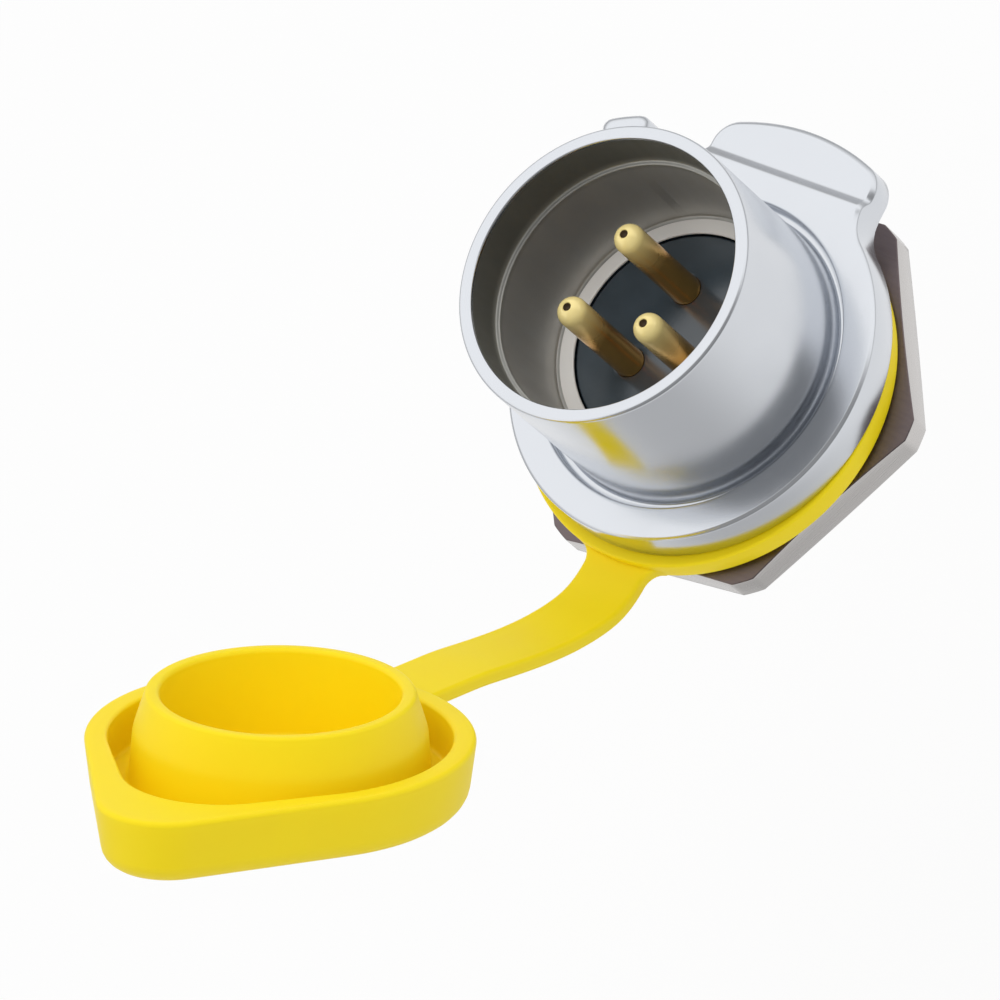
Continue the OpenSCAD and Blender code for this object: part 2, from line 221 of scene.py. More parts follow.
def flange_outline():
    """The flange's outline with its ear, anticlockwise from -Y and evenly spaced."""
    fillet_x = EAR_HALF_W + EAR_FILLET_R
    fillet = np.array((fillet_x, math.sqrt((FLANGE_R + EAR_FILLET_R) ** 2 - fillet_x ** 2)))
    foot = math.atan2(fillet[1], fillet[0])
    corner_x = EAR_HALF_W - EAR_CORNER_R
    corner = np.array((corner_x, math.sqrt((EAR_REACH - EAR_CORNER_R) ** 2 - corner_x ** 2)))
    lean = math.atan2(corner[1], corner[0])
    arcs = ((np.zeros(2), FLANGE_R, -math.pi / 2, foot),
            (fillet, EAR_FILLET_R, foot + math.pi, math.pi),
            (corner, EAR_CORNER_R, 0, lean),
            (np.zeros(2), EAR_REACH, lean, math.pi / 2))
    half = np.array([centre + r * np.array((math.cos(a), math.sin(a)))
                     for centre, r, a0, a1 in arcs for a in np.linspace(a0, a1, ARC_POINTS)])
    whole = np.vstack((half, (half * (-1, 1))[::-1][1:]))
    return evenly(whole, lambda length: np.linspace(0, length, SHELL_COLUMNS, endpoint=False))


# Chrome plate over tumbled zinc: a bright, slightly blue mirror, blurred by a faint orange
# peel about 1.2 mm across, with a haze that wanders over a few millimetres.
PEEL_W = 1.2
CLOUD_W = 4.0
BUMP_DEPTH = 0.02
chrome, tree, shader, coords = new_material("satin_chrome_plate")
peel = add_node(tree, "ShaderNodeTexNoise", {"Scale": 1 / (PEEL_W * MM), "Detail": 1.0},
                {"Vector": coords})
cloud = add_node(tree, "ShaderNodeTexNoise", {"Scale": 1 / (CLOUD_W * MM), "Detail": 4.0},
                 {"Vector": coords})
haze = add_node(tree, "ShaderNodeMapRange",
                {"From Min": 0.3, "From Max": 0.7, "To Min": 0.18, "To Max": 0.26},
                {"Value": cloud.outputs["Fac"]})
ripple = add_node(tree, "ShaderNodeBump", {"Strength": 0.06, "Distance": BUMP_DEPTH * MM},
                  {"Height": peel.outputs["Fac"]})
shader.inputs["Base Color"].default_value = hex_linear("#D3D6DB")
shader.inputs["Metallic"].default_value = 1.0
tree.links.new(haze.outputs["Result"], shader.inputs["Roughness"])
tree.links.new(ripple.outputs["Normal"], shader.inputs["Normal"])

# The plate inside the bore: a duller, darker copy of the chrome, partly thin plate where the plating
# current is weak and partly painted shade of the deep bore, with more painted shade in the
# counterbore at the mouth; the core pin's drag marks run along it about 0.8 mm apart.
DRAG_W = 0.8
DRAG_LEN = 9.0
MOUTH_FADE = (-0.5, 0.6)
bore_chrome_painted_shade, tree, shader, coords = new_material("bore_plate_painted_shade")
stretch = add_node(tree, "ShaderNodeMapping",
                   {"Scale": (1 / (DRAG_W * MM), 1 / (DRAG_W * MM), 1 / (DRAG_LEN * MM))},
                   {"Vector": coords})
drag = add_node(tree, "ShaderNodeTexNoise", {"Scale": 1.0, "Detail": 3.0},
                {"Vector": stretch.outputs["Vector"]})
haze = add_node(tree, "ShaderNodeMapRange",
                {"From Min": 0.3, "From Max": 0.7, "To Min": 0.42, "To Max": 0.52},
                {"Value": drag.outputs["Fac"]})
scuff = add_node(tree, "ShaderNodeBump", {"Strength": 0.08, "Distance": BUMP_DEPTH * MM},
                 {"Height": drag.outputs["Fac"]})
height = add_node(tree, "ShaderNodeSeparateXYZ", {}, {0: coords}).outputs["Z"]
mouth = add_node(tree, "ShaderNodeMapRange",
                 {"From Min": (STEP_Z + MOUTH_FADE[0]) * MM, "From Max": (STEP_Z + MOUTH_FADE[1]) * MM},
                 {"Value": height})
# Painted shade: the bore plate is darker in the counterbore above the step.
shade = add_node(tree, "ShaderNodeMix",
                 {"data_type": "RGBA", 6: hex_linear("#C3C2BE"), 7: hex_linear("#86867F")},
                 {0: mouth.outputs["Result"]})
tree.links.new(shade.outputs[2], shader.inputs["Base Color"])
shader.inputs["Metallic"].default_value = 0.85
tree.links.new(haze.outputs["Result"], shader.inputs["Roughness"])
tree.links.new(scuff.outputs["Normal"], shader.inputs["Normal"])

# The ledge's face: a painted highlight, a pale, even, non-metal white in place of the plate that
# stands in for the bright light on the ledge, with cutter marks about 0.4 mm apart in its gloss.
CUTTER_W = 0.4
ledge_painted_highlight, tree, shader, coords = new_material("ledge_plate_painted_highlight")
cutter = add_node(tree, "ShaderNodeTexNoise", {"Scale": 1 / (CUTTER_W * MM), "Detail": 2.0},
                  {"Vector": coords})
haze = add_node(tree, "ShaderNodeMapRange", {"To Min": 0.45, "To Max": 0.6},
                {"Value": cutter.outputs["Fac"]})
# Painted highlight: near-white and not metallic, so that the ledge shows bright.
shader.inputs["Base Color"].default_value = hex_linear("#F8F6F2")
tree.links.new(haze.outputs["Result"], shader.inputs["Roughness"])

edge = flange_outline()
edge_normals = outward(edge)
columns = np.arctan2(edge[:, 1], edge[:, 0])

# Barrel from the flange to the rear and its bore up to the window; then the ledge, the bore
# with its step, and the outside from the rim down to the flange
thread = []
for k in range(THREAD_GROOVES):
    groove_z = THREAD_FIRST_Z - k * THREAD_PITCH
    thread += [(BARREL_R, groove_z + THREAD_HALF_W, CUT_ROUND),
               (BARREL_R - THREAD_DEPTH, groove_z, ROOT_ROUND),
               (BARREL_R, groove_z - THREAD_HALF_W, CUT_ROUND)]
barrel = rounded(
    [(BARREL_R, FLANGE_REAR_Z, 0)] + thread +
    [(BARREL_R, BARREL_REAR_Z + BARREL_BEVEL, TURNED_ROUND),
     (BARREL_R - BARREL_BEVEL, BARREL_REAR_Z, TURNED_ROUND), (INSERT_R, BARREL_REAR_Z, CAST_ROUND),
     (INSERT_R, SNAP_REAR_Z, CUT_ROUND), (SNAP_R, SNAP_REAR_Z, CUT_ROUND),
     (SNAP_R, SNAP_FRONT_Z, CUT_ROUND), (INSERT_R, SNAP_FRONT_Z, CUT_ROUND),
     (INSERT_R, LEDGE_REAR_Z, 0), (WINDOW_R, LEDGE_REAR_Z, TURNED_ROUND),
     (WINDOW_R, LEDGE_Z - LEDGE_LIP, 0)])
ledge = rounded([(WINDOW_R, LEDGE_Z - LEDGE_LIP, 0), (WINDOW_R, LEDGE_Z, LEDGE_ROUND),
                 (SOCKET_R - FINISH_EDGE, LEDGE_Z, 0)])
bore = rounded([(SOCKET_R - FINISH_EDGE, LEDGE_Z, 0), (SOCKET_R, LEDGE_Z, CAST_ROUND),
                (SOCKET_R + SOCKET_DRAFT, STEP_Z, LEDGE_ROUND), (MOUTH_R, STEP_Z, LEDGE_ROUND),
                (MOUTH_R, RIM_Z - FINISH_EDGE, 0)])
shroud = rounded([(MOUTH_R, RIM_Z - FINISH_EDGE, 0), (MOUTH_R, RIM_Z, CAST_ROUND),
                  (SHROUD_R, RIM_Z, RIM_ROUND), (SHROUD_R, RELIEF_Z, CAST_ROUND),
                  (RELIEF_R, RELIEF_Z, CAST_ROUND), (RELIEF_R, FRONT_Z, FLANGE_ROUND),
                  (RELIEF_R + RELIEF_LIP, FRONT_Z, 0)])
outside = turned_rings(shroud, columns)

# Flange front with the soft step down to the ear's pad, its bevelled edge, and its rear. The
# step has points at these distances past its start with these shares of its drop; the bevel has
# points (outwards, down) in shares of its width, and the rear round has (outwards, up) in mm.
step_levels = EAR_STEP_Y + np.array((-0.25, -0.08, 0.02, 0.15, 0.45, 0.58, 0.68, 0.85))
step_drop = EAR_DROP * np.array((0.0, 0.03, 0.15, 0.33, 0.83, 0.97, 1.0, 1.0))
front_bevel = ((0.0, 0.0), (0.12, 0.03), (0.82, 0.7), (0.95, 0.85), (1.0, 1.1))
rear_round = ((0.0, CAST_ROUND), (-CUT_ROUND, CUT_ROUND), (-CAST_ROUND, 0.0))
least_climb = 0.01
inner = edge / np.linalg.norm(edge, axis=1)[:, None] * (RELIEF_R + RELIEF_LIP)
bevel = np.interp(edge[:, 1], EAR_BLEND_Y, (FLANGE_BEVEL, EAR_BEVEL))[:, None]
bevel_start = edge - edge_normals * bevel
climb = bevel_start[:, 1] - inner[:, 1]
on_ear = (climb > least_climb) & (edge[:, 1] > EAR_ROOT_Y)
for level in step_levels:
    part = np.where(on_ear, (level - inner[:, 1]) / np.maximum(climb, least_climb), 1.0)
    flat = inner + (bevel_start - inner) * np.clip(part, 0.0, 1.0)[:, None]
    outside.append(np.column_stack((flat, FRONT_Z - np.interp(flat[:, 1], step_levels, step_drop))))
front_edge = FRONT_Z - np.interp(bevel_start[:, 1], step_levels, step_drop)[:, None]
for out, down in front_bevel:
    outside.append(np.hstack((bevel_start + edge_normals * bevel * out, front_edge - bevel * down)))
for out, up in rear_round:
    rear_z = np.full(len(edge), FLANGE_REAR_Z + up)
    outside.append(np.column_stack((edge + edge_normals * out, rear_z)))
outside += turned_rings([(BARREL_R, FLANGE_REAR_Z)], columns)

bm = bmesh.new()
skin(bm, turned_rings(barrel, columns))
skin(bm, turned_rings(bore, columns), slot=1)
skin(bm, turned_rings(ledge, columns), slot=2)
skin(bm, outside)

# Key: a low lug on the shroud's outside just behind the rim, rounded on all its edges; the
# first and last quarter of its rings make the rounded ends
KEY_RINGS = 19
KEY_END = 0.25
KEY_FLAT_POINTS = 9
lug = []
for t in np.linspace(0, 1, KEY_RINGS):
    tilt = math.pi / 2 * (1 - min(t, 1 - t, KEY_END) / KEY_END)
    inset = KEY_ROUND * (1 - math.cos(tilt))
    if tilt > 0:
        end = KEY_ROUND * (1 - math.sin(tilt))
        depth = end if t < 0.5 else KEY_LEN - end
    else:
        depth = KEY_ROUND + (KEY_LEN - 2 * KEY_ROUND) * (t - KEY_END) / (1 - 2 * KEY_END)
    half_w = KEY_W / 2 - inset
    top = KEY_H - inset
    section = rounded([(half_w, -KEY_SUNK, 0), (half_w, top, KEY_ROUND), (-half_w, top, KEY_ROUND),
                       (-half_w, -KEY_SUNK, 0)])
    across = np.linspace(half_w - KEY_ROUND, KEY_ROUND - half_w, KEY_FLAT_POINTS)[1:-1]
    middle = len(section) // 2
    section = section[:middle] + [(x, top) for x in across] + section[middle:]
    lug.append(np.array([((SHROUD_R + y) * math.cos(KEY_ANGLE - x / SHROUD_R),
                          (SHROUD_R + y) * math.sin(KEY_ANGLE - x / SHROUD_R),
                          RIM_Z - KEY_SETBACK - depth) for x, y in section]))
skin(bm, [lug[0].mean(axis=0)] + lug + [lug[-1].mean(axis=0)])

shell = finished(bm, "shell_casting", [chrome, bore_chrome_painted_shade, ledge_painted_highlight])
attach(shell, "root")
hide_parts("shell")

# Contacts: turned brass pins with domed, dimpled tips and solder cups, gold plated, dropped
# into the insulator from the rear and held by their collars.
PIN_R = 1.0
PIN_TIP_Z = 14.9
PIN_CIRCLE_R = 3.5
PIN_FIRST_TURN = 112
PIN_SPREAD = 110
PIN_ANGLES = [math.radians(PIN_FIRST_TURN + PIN_SPREAD * i) for i in range(3)]
PIN_COLUMNS = 64
DOME_RINGS = 12
SCOOP_POINTS = 25
DIMPLE_R = 0.27
DIMPLE_DEPTH = 0.36
DIMPLE_LIP = 0.05
FACE_Z = 6.0
SHANK_R = 1.25
SHANK_COVER = 0.3
COLLAR_R = 1.6
COLLAR_FRONT_Z = 1.0
SPLIT_Z = -0.6
TAIL_R = 1.2
TAIL_Z = -11.0
CUP_R = 0.85
CUP_DEPTH = 4.5
CUP_WINDOW = 2.6
CUP_END_R = 0.3
CUP_END_RISE = (0.3, 0.35)
CUP_LIP_ROUND = 0.04
CUP_ROUND = 0.05

# Gold flash over turned brass: a deep orange yellow mirror, cloudy in patches of a millimetre,
# with fine rings left by the lathe, drawn 0.2 mm apart so that they show. The tips carry a painted
# highlight: a pale cream, mostly matt, standing in for the bright light the domes catch. A wave
# texture of scale 1 has a band every 2 pi / 20.
WAVE_BAND = 2 * math.pi / 20
LATHE_SPACING = 0.2
PATCH_W = 1.2
TIP_HIGHLIGHT_FADE = (4.2, 0.5)
gold, tree, shader, coords = new_material("gold_plated_brass")
marks = add_node(tree, "ShaderNodeTexWave",
                 {"wave_type": "BANDS", "bands_direction": "Z", "Distortion": 1.5, "Detail": 2.0,
                  "Scale": WAVE_BAND / (LATHE_SPACING * MM)}, {"Vector": coords})
lathe = add_node(tree, "ShaderNodeBump", {"Strength": 0.08, "Distance": BUMP_DEPTH * MM},
                 {"Height": marks.outputs["Fac"]})
patches = add_node(tree, "ShaderNodeTexNoise", {"Scale": 1 / (PATCH_W * MM), "Detail": 3.0},
                   {"Vector": coords})
cloudy = add_node(tree, "ShaderNodeMapRange", {"To Min": 0.12, "To Max": 0.22},
                  {"Value": patches.outputs["Fac"]})
height = add_node(tree, "ShaderNodeSeparateXYZ", {}, {0: coords}).outputs["Z"]
# Painted highlight: towards the tips the gold turns pale cream and mostly matt, so the lamps light the
# domes.
tip = add_node(tree, "ShaderNodeMapRange",
               {"From Min": (PIN_TIP_Z - TIP_HIGHLIGHT_FADE[0]) * MM, "From Max": (PIN_TIP_Z - TIP_HIGHLIGHT_FADE[1]) * MM},
               {"Value": height})
gold_and_tip_highlight = add_node(tree, "ShaderNodeMix",
                {"data_type": "RGBA", 6: hex_linear("#F2B862"), 7: hex_linear("#FFEAA0")},
                {0: tip.outputs["Result"]})
bright = add_node(tree, "ShaderNodeMapRange", {"To Min": 0.95, "To Max": 0.1},
                  {"Value": tip.outputs["Result"]})
tree.links.new(gold_and_tip_highlight.outputs[2], shader.inputs["Base Color"])
tree.links.new(bright.outputs["Result"], shader.inputs["Metallic"])
tree.links.new(cloudy.outputs["Result"], shader.inputs["Roughness"])
tree.links.new(lathe.outputs["Normal"], shader.inputs["Normal"])

# The lathe's centre hole in each tip: dark brown, in lighter and darker spots of 0.2 mm.
DIMPLE_SPOT_W = 0.2
dimple_dark_brown, tree, shader, coords = new_material("dark_dimple_brown")
dimple_spots = add_node(tree, "ShaderNodeTexNoise", {"Scale": 1 / (DIMPLE_SPOT_W * MM), "Detail": 2.0},
                   {"Vector": coords})
shade = add_node(tree, "ShaderNodeMix",
                 {"data_type": "RGBA", 6: hex_linear("#2E2110"), 7: hex_linear("#4A3820")},
                 {0: dimple_spots.outputs["Fac"]})
tree.links.new(shade.outputs[2], shader.inputs["Base Color"])
shader.inputs["Roughness"].default_value = 0.6

# One pin on its own axis, from the dimple over the dome, shank, collar and tail into the drilled
# cup; below the top of the cup's window, only half of its wall goes on to the end
pin_columns = np.linspace(0, 2 * math.pi, PIN_COLUMNS, endpoint=False)
dome_z = PIN_TIP_Z - PIN_R
cup_top = TAIL_Z + CUP_DEPTH
window_top = TAIL_Z + CUP_WINDOW
dimple = [(DIMPLE_R * out, PIN_TIP_Z - DIMPLE_DEPTH * down)
          for out, down in ((0.5, 0.95), (0.85, 0.7), (1.0, 0.3))]
dome = [(PIN_R * math.sin(a), dome_z + PIN_R * math.cos(a))
        for a in np.linspace(math.asin((DIMPLE_R + DIMPLE_LIP) / PIN_R), math.pi / 2, DOME_RINGS)]
body = rounded([(PIN_R, dome_z, 0), (PIN_R, FACE_Z - SHANK_COVER, 0),
                (SHANK_R, FACE_Z - SHANK_COVER, TURNED_ROUND), (SHANK_R, COLLAR_FRONT_Z, 0),
                (COLLAR_R, COLLAR_FRONT_Z, TURNED_ROUND), (COLLAR_R, SPLIT_Z, TURNED_ROUND),
                (TAIL_R, SPLIT_Z, 0), (TAIL_R, window_top, CUP_LIP_ROUND),
                (CUP_R, window_top, CUP_LIP_ROUND), (CUP_R, cup_top, CUP_ROUND),
                (CUP_END_R, cup_top + CUP_END_RISE[0], 0)])
half_arc = np.linspace(math.pi / 2, 3 * math.pi / 2, SCOOP_POINTS)
scoop = ([(TAIL_R * math.cos(a), TAIL_R * math.sin(a)) for a in half_arc] +
         [(CUP_R * math.cos(a), CUP_R * math.sin(a)) for a in half_arc[::-1]])
walls = [np.array([(x, y, z) for x, y in scoop]) for z in (window_top, TAIL_Z)]
dimple_end = np.array((0, 0, PIN_TIP_Z - DIMPLE_DEPTH))
cup_end = np.array((0, 0, cup_top + CUP_END_RISE[1]))
for i, a in enumerate(PIN_ANGLES):
    bm = bmesh.new()
    stand = Matrix.Rotation(a, 4, "Z") @ Matrix.Translation((PIN_CIRCLE_R, 0, 0))
    skin(bm, [dimple_end] + turned_rings(dimple, pin_columns), place=stand, slot=1)
    skin(bm, turned_rings(dimple[-1:] + dome + body, pin_columns) + [cup_end], place=stand)
    skin(bm, walls, place=stand)
    lips = [bm.verts.new(stand @ Vector(p) * MM) for p in walls[-1]]
    for k in range(len(half_arc) - 1):
        bm.faces.new((lips[k], lips[k + 1], lips[-2 - k], lips[-1 - k]))
    contact = finished(bm, f"contact_pin_{i + 1}", [gold, dimple_dark_brown])
    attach(contact, "root")
    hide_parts(f"contact_{i + 1}")

# Insulator: black glass-filled nylon disc moulded with three through holes; it is pushed in
# from the rear until its shoulder meets the shell's ledge.
INSULATOR_R = 8.25
NECK_R = 7.25
FACE_RIM = 0.6
SHOULDER_GAP = 0.1
SHOULDER_ROUND = 0.15
HOLE_R = 1.02
HOLE_ROUND = 0.04
HOLE_RIM = 0.3
DISC_COLUMNS = 160
HOLE_COLUMNS = 48

# Moulded nylon: blue-black and glossy from a polished tool, with a faint grain, drawn 0.25 mm
# across so that it shows, and gloss that wanders over a few millimetres.
NYLON_GRAIN_W = 0.25
GLOSS_W = 3.0
nylon, tree, shader, coords = new_material("black_moulded_nylon")
grain = add_node(tree, "ShaderNodeTexNoise", {"Scale": 1 / (NYLON_GRAIN_W * MM), "Detail": 2.0},
                 {"Vector": coords})
bloom = add_node(tree, "ShaderNodeTexNoise", {"Scale": 1 / (GLOSS_W * MM), "Detail": 3.0},
                 {"Vector": coords})
sheen = add_node(tree, "ShaderNodeMapRange", {"To Min": 0.11, "To Max": 0.2},
                 {"Value": bloom.outputs["Fac"]})
shade = add_node(tree, "ShaderNodeMix",
                 {"data_type": "RGBA", 6: hex_linear("#2A363F"), 7: hex_linear("#3A4853")},
                 {0: bloom.outputs["Fac"]})
texture = add_node(tree, "ShaderNodeBump", {"Strength": 0.06, "Distance": BUMP_DEPTH * MM},
                   {"Height": grain.outputs["Fac"]})
shader.inputs["Specular IOR Level"].default_value = 1.0
tree.links.new(shade.outputs[2], shader.inputs["Base Color"])
tree.links.new(sheen.outputs["Result"], shader.inputs["Roughness"])
tree.links.new(texture.outputs["Normal"], shader.inputs["Normal"])

# The disc from its face's edge to its back, a hole for each pin, and the face filled in between
bm = bmesh.new()
disc_columns = np.linspace(0, 2 * math.pi, DISC_COLUMNS, endpoint=False)
face_r = NECK_R - FACE_RIM
disc = rounded([(face_r, FACE_Z, 0), (NECK_R, FACE_Z, CAST_ROUND),
                (NECK_R, LEDGE_REAR_Z - SHOULDER_GAP, 0),
                (INSULATOR_R, LEDGE_REAR_Z - SHOULDER_GAP, SHOULDER_ROUND), (INSULATOR_R, SPLIT_Z, 0)])
skin(bm, turned_rings(disc, disc_columns) + [np.array((0, 0, SPLIT_Z))])
hole_columns = np.linspace(0, 2 * math.pi, HOLE_COLUMNS, endpoint=False)
hole = [(HOLE_R + HOLE_RIM, FACE_Z), (HOLE_R + HOLE_ROUND, FACE_Z),
        (HOLE_R + HOLE_ROUND / 4, FACE_Z - HOLE_ROUND / 4), (HOLE_R, FACE_Z - HOLE_ROUND),
        (HOLE_R, FACE_Z - SHANK_COVER)]
loops = [[Vector(p) * MM for p in turned_rings([(face_r, FACE_Z)], disc_columns)[0]]]
for a in PIN_ANGLES:
    stand = Matrix.Rotation(a, 4, "Z") @ Matrix.Translation((PIN_CIRCLE_R, 0, 0))
    well = turned_rings(hole, hole_columns)
    skin(bm, well, place=stand)
    loops.append([stand @ Vector(p) * MM for p in well[0]])
face_edges = []
for loop in loops:
    dots = [bm.verts.new(p) for p in loop]
    face_edges += [bm.edges.new((dots[k - 1], dots[k])) for k in range(len(dots))]
bmesh.ops.triangle_fill(bm, edges=face_edges, use_beauty=True, normal=(0, 0, 1))
insulator = finished(bm, "insulator_moulding", [nylon])
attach(insulator, "root")
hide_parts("insulator")

# Insert seal and rear insulator: a nitrile ring sits in the insulator's groove, and a nylon
# plate behind it traps the contacts' collars.
PLATE_EDGE_ROUND = 0.1

# Nitrile rubber: dull black with a faint grey bloom about 0.6 mm across.
BLOOM_W = 0.6
nitrile, tree, shader, coords = new_material("black_nitrile")
bloom = add_node(tree, "ShaderNodeTexNoise", {"Scale": 1 / (BLOOM_W * MM), "Detail": 3.0},
                 {"Vector": coords})
shade = add_node(tree, "ShaderNodeMix",
                 {"data_type": "RGBA", 6: hex_linear("#141414"), 7: hex_linear("#222222")},
                 {0: bloom.outputs["Fac"]})
shader.inputs["Roughness"].default_value = 0.6
tree.links.new(shade.outputs[2], shader.inputs["Base Color"])


def dressed(node, material, edge_mm):
    """Gives a solid that stays in view its material and a small round on its edges."""
    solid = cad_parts[node]
    solid.data.materials.clear()
    solid.data.materials.append(material)
    if edge_mm:
        soften = solid.modifiers.new("edge_round", "BEVEL")
        soften.width = edge_mm * MM
        soften.segments = 2
        soften.limit_method = "ANGLE"
        soften.angle_limit = math.radians(40)
        soften.harden_normals = True


dressed("insert_seal", nitrile, 0)
dressed("backplate", nylon, PLATE_EDGE_ROUND)

# Retaining ring: a stamped spring steel snap ring in the barrel's groove, with an eye for the
# pliers at each end.
SNAP_EDGE_ROUND = 0.08

# Phosphated spring steel: dark grey, its gloss broken by fine crystals, which are drawn 0.3 mm
# across so that they show.
CRYSTAL_W = 0.3
spring_steel, tree, shader, coords = new_material("phosphated_spring_steel")
crystal = add_node(tree, "ShaderNodeTexNoise", {"Scale": 1 / (CRYSTAL_W * MM), "Detail": 4.0},
                   {"Vector": coords})
gleam = add_node(tree, "ShaderNodeMapRange", {"To Min": 0.3, "To Max": 0.5},
                 {"Value": crystal.outputs["Fac"]})
shader.inputs["Base Color"].default_value = hex_linear("#5E6064")
shader.inputs["Metallic"].default_value = 1.0
tree.links.new(gleam.outputs["Result"], shader.inputs["Roughness"])
dressed("retaining_ring", spring_steel, SNAP_EDGE_ROUND)

# Panel nut: a thin hexagon nut sawn from brass bar, its corners turned off on both faces,
# tapped to match the barrel and nickel plated; it runs up behind the ring.
NUT_FRONT_Z = -0.2
NUT_REAR_Z = -2.5
NUT_FLAT_R = 12.6
NUT_CORNER_R = 14.15
NUT_BEVEL_R = 12.3
NUT_BORE_R = 10.1
NUT_ANGLE = math.radians(5)
NUT_FRONT_SLOPE = math.tan(math.radians(12))
NUT_REAR_SLOPE = math.tan(math.radians(4))
NUT_THREAD_BEVEL = ((0.0, 0.5), (0.35, 0.06), (0.45, 0.0))
NUT_FACE_BREAK = ((-0.08, 0.0), (0.02, 0.02))
NUT_SIDE_BREAK = ((-0.08, -0.02), (-0.02, 0.03), (0.0, 0.1))
NUT_COLUMNS = 360

# Nickel plate over brass bar: a warm grey satin, with polishing lines 0.12 mm apart that run
# round the sides.
LINE_LEN = 1.5
LINE_SPACING = 0.12
nickel, tree, shader, coords = new_material("nickel_plated_brass")
drawn = add_node(tree, "ShaderNodeMapping",
                 {"Scale": (1 / (LINE_LEN * MM), 1 / (LINE_LEN * MM), 1 / (LINE_SPACING * MM))},
                 {"Vector": coords})
lines = add_node(tree, "ShaderNodeTexNoise", {"Scale": 1.0, "Detail": 3.0},
                 {"Vector": drawn.outputs["Vector"]})
gleam = add_node(tree, "ShaderNodeMapRange", {"To Min": 0.22, "To Max": 0.34},
                 {"Value": lines.outputs["Fac"]})
lining = add_node(tree, "ShaderNodeBump", {"Strength": 0.1, "Distance": BUMP_DEPTH * MM},
                  {"Height": lines.outputs["Fac"]})
shader.inputs["Base Color"].default_value = hex_linear("#C8C5C3")
shader.inputs["Metallic"].default_value = 1.0
tree.links.new(gleam.outputs["Result"], shader.inputs["Roughness"])
tree.links.new(lining.outputs["Normal"], shader.inputs["Normal"])

# The nut's front: painted shade, a dull, dark, slightly purple nickel standing in for the shadow
# in the gap behind the gasket ring, with saw marks 0.3 mm apart.
SAW_LEN = 6.0
SAW_SPACING = 0.3
nut_front_shade_nickel, tree, shader, coords = new_material("nut_front_painted_shade")
cut = add_node(tree, "ShaderNodeMapping",
               {"Scale": (1 / (SAW_LEN * MM), 1 / (SAW_SPACING * MM), 1 / (SAW_SPACING * MM))},
               {"Vector": coords})
saw = add_node(tree, "ShaderNodeTexNoise", {"Scale": 1.0, "Detail": 3.0},
               {"Vector": cut.outputs["Vector"]})
gleam = add_node(tree, "ShaderNodeMapRange", {"To Min": 0.35, "To Max": 0.5},
                 {"Value": saw.outputs["Fac"]})
# Painted shade: dark purple-grey nickel on the nut's front.
shade = add_node(tree, "ShaderNodeMix",
                 {"data_type": "RGBA", 6: hex_linear("#6A5F60"), 7: hex_linear("#7E7375")},
                 {0: saw.outputs["Fac"]})
shader.inputs["Metallic"].default_value = 1.0
tree.links.new(shade.outputs[2], shader.inputs["Base Color"])
tree.links.new(gleam.outputs["Result"], shader.inputs["Roughness"])

nut_columns = NUT_ANGLE + np.linspace(0, 2 * math.pi, NUT_COLUMNS, endpoint=False)
swing = (nut_columns - NUT_ANGLE) % math.radians(60) - math.radians(30)
hexagon = np.minimum(NUT_FLAT_R / np.cos(swing), NUT_CORNER_R)


def nut_side(face_z, inward, slope):
    """The nut's rings from its bore over one face to its side; inward is -1 or 1 along Z.

    Its bevels and broken edges are lists of (outwards, inwards) points.
    """
    bevel_drop = (hexagon - NUT_BEVEL_R) * slope
    steps = [(NUT_BORE_R + out, down) for out, down in NUT_THREAD_BEVEL]
    steps += [(NUT_BEVEL_R + out, down) for out, down in NUT_FACE_BREAK]
    steps += [(hexagon + out, bevel_drop + down) for out, down in NUT_SIDE_BREAK]
    rings = []
    for r, down in steps:
        z = np.broadcast_to(face_z + inward * down, nut_columns.shape)
        rings.append(np.column_stack((r * np.cos(nut_columns), r * np.sin(nut_columns), z)))
    return rings


# The front's flat and bevel carry the painted shade; the rest of the nut is bright
front_side = nut_side(NUT_FRONT_Z, -1, NUT_FRONT_SLOPE)
rear_side = nut_side(NUT_REAR_Z, 1, NUT_REAR_SLOPE)
bm = bmesh.new()
skin(bm, front_side[2:7], slot=1)
skin(bm, front_side[6:] + rear_side[::-1] + front_side[:3])
nut = finished(bm, "panel_nut_hexagon", [nickel, nut_front_shade_nickel], sharp=25)
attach(nut, "root")
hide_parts("panel_nut")

# Sealing cap: gasket ring, strap and tabbed cap in one silicone moulding. The ring lies loose
# under the flange and hangs towards the strap, which holds the open cap out in front.
RING_R = 12.75
RING_BORE_R = 10.85
RING_T = 1.7
RING_SAG = 0.75
RING_BORE_ROUND = 0.15
RING_TOP_ROUND = 0.2
RING_COLUMNS = 240
STRAP_W = 4.6
STRAP_T = 1.0
STRAP_BEND_Y = 14.45
STRAP_BEND_R = 5.0
STRAP_SWING = math.radians(51.5)
STRAP_LEN = 15.6
STRAP_FILLET_R = 1.3
STRAP_FILLET_END = 0.02
STRAP_STEP = 0.15
CAP_R = 11.95
CAP_H = 4.2
CAP_EDGE_R = 1.4
CAP_DRAFT = 0.35
CAP_FLOOR_Z = -2.8
CAP_UNDER_R = 3.0
CAP_UNDER_W = 4.0
CAP_LIP_W = 0.7
CAP_LEAN = math.radians(4.5)
CAP_COLUMNS = 480
TAB_REACH = 17.2
TAB_R = 4.4
TAB_TURN = math.radians(9)
RECESS_BORE_R = 10.5
RECESS_REACH = 12.9
RECESS_R = 6.0
RECESS_LIP_W = 0.5
RECESS_LIP_ROUND = 0.25
RECESS_FLOOR_W = 0.6
PLUG_R = 8.2
PLUG_BELLY_R = 9.0
PLUG_BELLY_Z = 0.3
PLUG_BELLY_ROUND = 3.0
PLUG_FOOT_R = 9.25
PLUG_BORE_R = 7.35
PLUG_FLOOR_R = 5.0
PLUG_FLOOR_ROUND = 0.2
PLUG_RISE = 2.8
LIP_ROUND = 0.3
INNER_ROUND = 0.4

